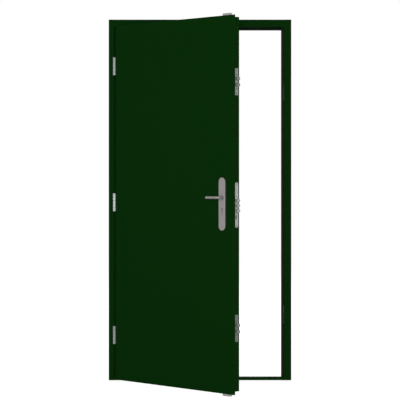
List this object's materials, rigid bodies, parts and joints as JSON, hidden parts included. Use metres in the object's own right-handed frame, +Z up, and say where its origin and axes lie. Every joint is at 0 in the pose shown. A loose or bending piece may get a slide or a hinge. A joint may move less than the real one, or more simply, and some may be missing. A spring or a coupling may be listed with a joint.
{
  "type": "steel door with frame",
  "caption": "Single steel door leaf hung on butt hinges in a folded steel frame, standing half open, with a multi-point bolt lock and lever handles.",
  "frame": {"origin": "floor line, midway between the jambs and midway through the frame's depth", "axes": "+X to the lock side of the frame, +Y to the back of the frame, +Z up"},
  "size_m": [1.02, 0.7943, 2.0228],
  "materials": {
    "green_paint": "satin",
    "seal_rubber": "matte",
    "hinge_steel": "satin",
    "forend_steel": "satin",
    "side_forend_steel": "satin",
    "handle_steel": "satin",
    "bolt_steel": "satin",
    "dark_steel": "matte",
    "zinc_steel": "satin",
    "brass": "satin",
    "plain_steel": "matte"
  },
  "bodies": {
    "frame": {"hinge_jamb": "green_paint", "lock_jamb": "green_paint", "head": "green_paint", "threshold": "green_paint", "seal_hinge_side": "seal_rubber", "seal_lock_side": "seal_rubber", "seal_head": "seal_rubber", "hinge_frame_wing_bottom": "hinge_steel", "hinge_frame_wing_middle": "hinge_steel", "hinge_frame_wing_top": "hinge_steel", "hinge_pin_bottom": "hinge_steel", "hinge_pin_middle": "hinge_steel", "hinge_pin_top": "hinge_steel", "hinge_washers_bottom": "brass", "hinge_washers_middle": "brass", "hinge_washers_top": "brass", "frame_hinge_plates": "zinc_steel", "frame_hinge_screws": "zinc_steel", "upper_keep": "dark_steel", "lower_keep": "dark_steel", "keep_screws": "dark_steel"},
    "leaf": {"front_skin": "green_paint", "back_skin": "green_paint", "stiffeners": "plain_steel", "hinge_leaf_wing_bottom": "hinge_steel", "hinge_leaf_wing_middle": "hinge_steel", "hinge_leaf_wing_top": "hinge_steel", "leaf_hinge_plates": "zinc_steel", "leaf_hinge_screws": "zinc_steel", "main_forend": "forend_steel", "upper_forend": "side_forend_steel", "lower_forend": "side_forend_steel", "forend_screws": "dark_steel", "case_bolt": "forend_steel", "main_lock_case": "zinc_steel", "main_lock_cover": "zinc_steel", "upper_lock_case": "zinc_steel", "upper_lock_cover": "zinc_steel", "lower_lock_case": "zinc_steel", "lower_lock_cover": "zinc_steel", "top_bolt_guide": "zinc_steel", "bottom_bolt_guide": "zinc_steel", "cylinder_body": "brass", "cylinder_screw": "dark_steel", "outside_plate": "handle_steel", "inside_plate": "handle_steel", "plate_bolts": "zinc_steel"},
    "handle": {"outside_lever": "handle_steel", "inside_lever": "handle_steel", "spindle": "plain_steel", "follower": "plain_steel"},
    "latch": {"latch_bolt": "forend_steel"},
    "main_bolt_set": {"main_bolts": "bolt_steel"},
    "upper_bolt_set": {"upper_bolts": "bolt_steel"},
    "lower_bolt_set": {"lower_bolts": "bolt_steel"},
    "top_shoot_bolt": {"top_bolt": "bolt_steel"},
    "bottom_shoot_bolt": {"bottom_bolt": "bolt_steel"},
    "key_plug": {"outside_plug": "brass", "inside_plug": "brass", "plug_cam": "plain_steel"}
  },
  "joints": [
    {"name": "leaf_swing", "type": "hinge", "parent": "frame", "child": "leaf", "pos_m": [-0.4778, -0.0583, 0.995], "axis": [0, 0, -1], "range_deg": [-46.5, 123.5]},
    {"name": "handle_turn", "type": "hinge", "parent": "leaf", "child": "handle", "pos_m": [0.13323, -0.66515, 1.029], "axis": [-0.7254, -0.6884, 0], "range_deg": [0, 40], "stiffness_Nm_per_rad": 1.5, "springref_deg": -34.38},
    {"name": "latch_slide", "type": "slide", "parent": "leaf", "child": "latch", "axis": [0.6884, -0.7254, 0], "range_m": [-0.012, 0]},
    {"name": "main_bolt_throw", "type": "slide", "parent": "leaf", "child": "main_bolt_set", "axis": [0.6884, -0.7254, 0], "range_m": [-0.02, 0]},
    {"name": "upper_bolt_throw", "type": "slide", "parent": "leaf", "child": "upper_bolt_set", "axis": [0.6884, -0.7254, 0], "range_m": [-0.02, 0]},
    {"name": "lower_bolt_throw", "type": "slide", "parent": "leaf", "child": "lower_bolt_set", "axis": [0.6884, -0.7254, 0], "range_m": [-0.02, 0]},
    {"name": "top_bolt_throw", "type": "slide", "parent": "leaf", "child": "top_shoot_bolt", "axis": [0, 0, 1], "range_m": [-0.024, 0]},
    {"name": "bottom_bolt_throw", "type": "slide", "parent": "leaf", "child": "bottom_shoot_bolt", "axis": [0, 0, -1], "range_m": [-0.024, 0]},
    {"name": "key_turn", "type": "hinge", "parent": "leaf", "child": "key_plug", "pos_m": [0.13323, -0.66515, 0.967], "axis": [-0.7254, -0.6884, 0], "range_deg": [0, 360]}
  ],
  "couplings": [
    {"joint": "latch_slide", "follows": "handle_turn", "m_per_rad": -0.017188},
    {"joint": "upper_bolt_throw", "follows": "main_bolt_throw", "ratio": 1},
    {"joint": "lower_bolt_throw", "follows": "main_bolt_throw", "ratio": 1},
    {"joint": "top_bolt_throw", "follows": "main_bolt_throw", "ratio": 1.199},
    {"joint": "bottom_bolt_throw", "follows": "main_bolt_throw", "ratio": 1.199},
    {"joint": "key_turn", "follows": "main_bolt_throw", "rad_per_m": -314.15}
  ]
}
